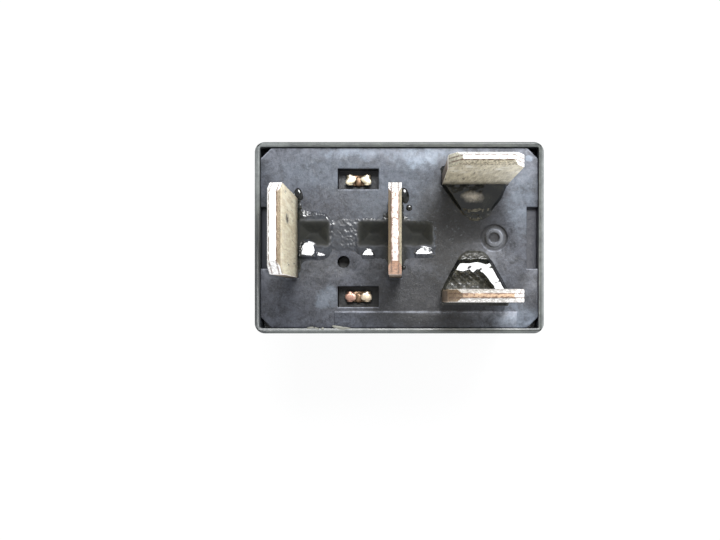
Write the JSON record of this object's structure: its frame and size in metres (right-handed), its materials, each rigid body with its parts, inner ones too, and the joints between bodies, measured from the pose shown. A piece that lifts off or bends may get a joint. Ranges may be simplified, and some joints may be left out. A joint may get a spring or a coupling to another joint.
{
  "type": "automotive relay",
  "caption": "Sealed plug-in relay with flat blade terminals, a spring-returned armature and a moulded cover.",
  "frame": {"origin": "centre of the flat closed end of the cover, which rests on the table", "axes": "+Z towards the blade tips, +X from the common blade to the coil blades along the long side, +Y along the short side"},
  "size_m": [0.0228, 0.0152, 0.0365],
  "materials": {
    "cover_plastic": "black moulded plastic with a soft sheen",
    "base_plastic": "dark blue-grey moulded plastic, dusty",
    "tin_plate": "worn tin plate over brass",
    "tin_plate_aged": "dull khaki tin plate over brass",
    "sealant": "glossy black potting",
    "steel": "zinc plated",
    "bobbin_plastic": "natural moulded plastic",
    "magnet_wire": "enamelled copper",
    "spring_metal": "rolled copper alloy",
    "contact_metal": "silver alloy"
  },
  "bodies": {
    "housing": {"cover": "cover_plastic", "base": "base_plastic", "common_terminal": "tin_plate", "make_terminal": "tin_plate", "coil_terminal_a": "tin_plate_aged", "coil_terminal_b": "tin_plate", "sealant_common": "sealant", "sealant_make": "sealant", "sealant_coil_a": "sealant", "sealant_coil_b": "sealant", "yoke": "steel", "core": "steel", "bobbin": "bobbin_plastic", "winding": "magnet_wire", "lead_wire_a": "magnet_wire", "lead_wire_b": "magnet_wire", "contact_spring": "spring_metal", "fixed_contact": "contact_metal", "yoke_rivets": "steel"},
    "armature": {"armature": "steel", "armature_rivets": "steel", "moving_contact": "contact_metal"}
  },
  "joints": [
    {"name": "armature_hinge", "type": "hinge", "parent": "housing", "child": "armature", "pos_m": [-0.00385, 0, 0.00555], "axis": [0, -1, 0], "range_deg": [0, 3], "stiffness_Nm_per_rad": 0.02, "springref_deg": -5.73, "deforming": ["contact_spring"]}
  ]
}
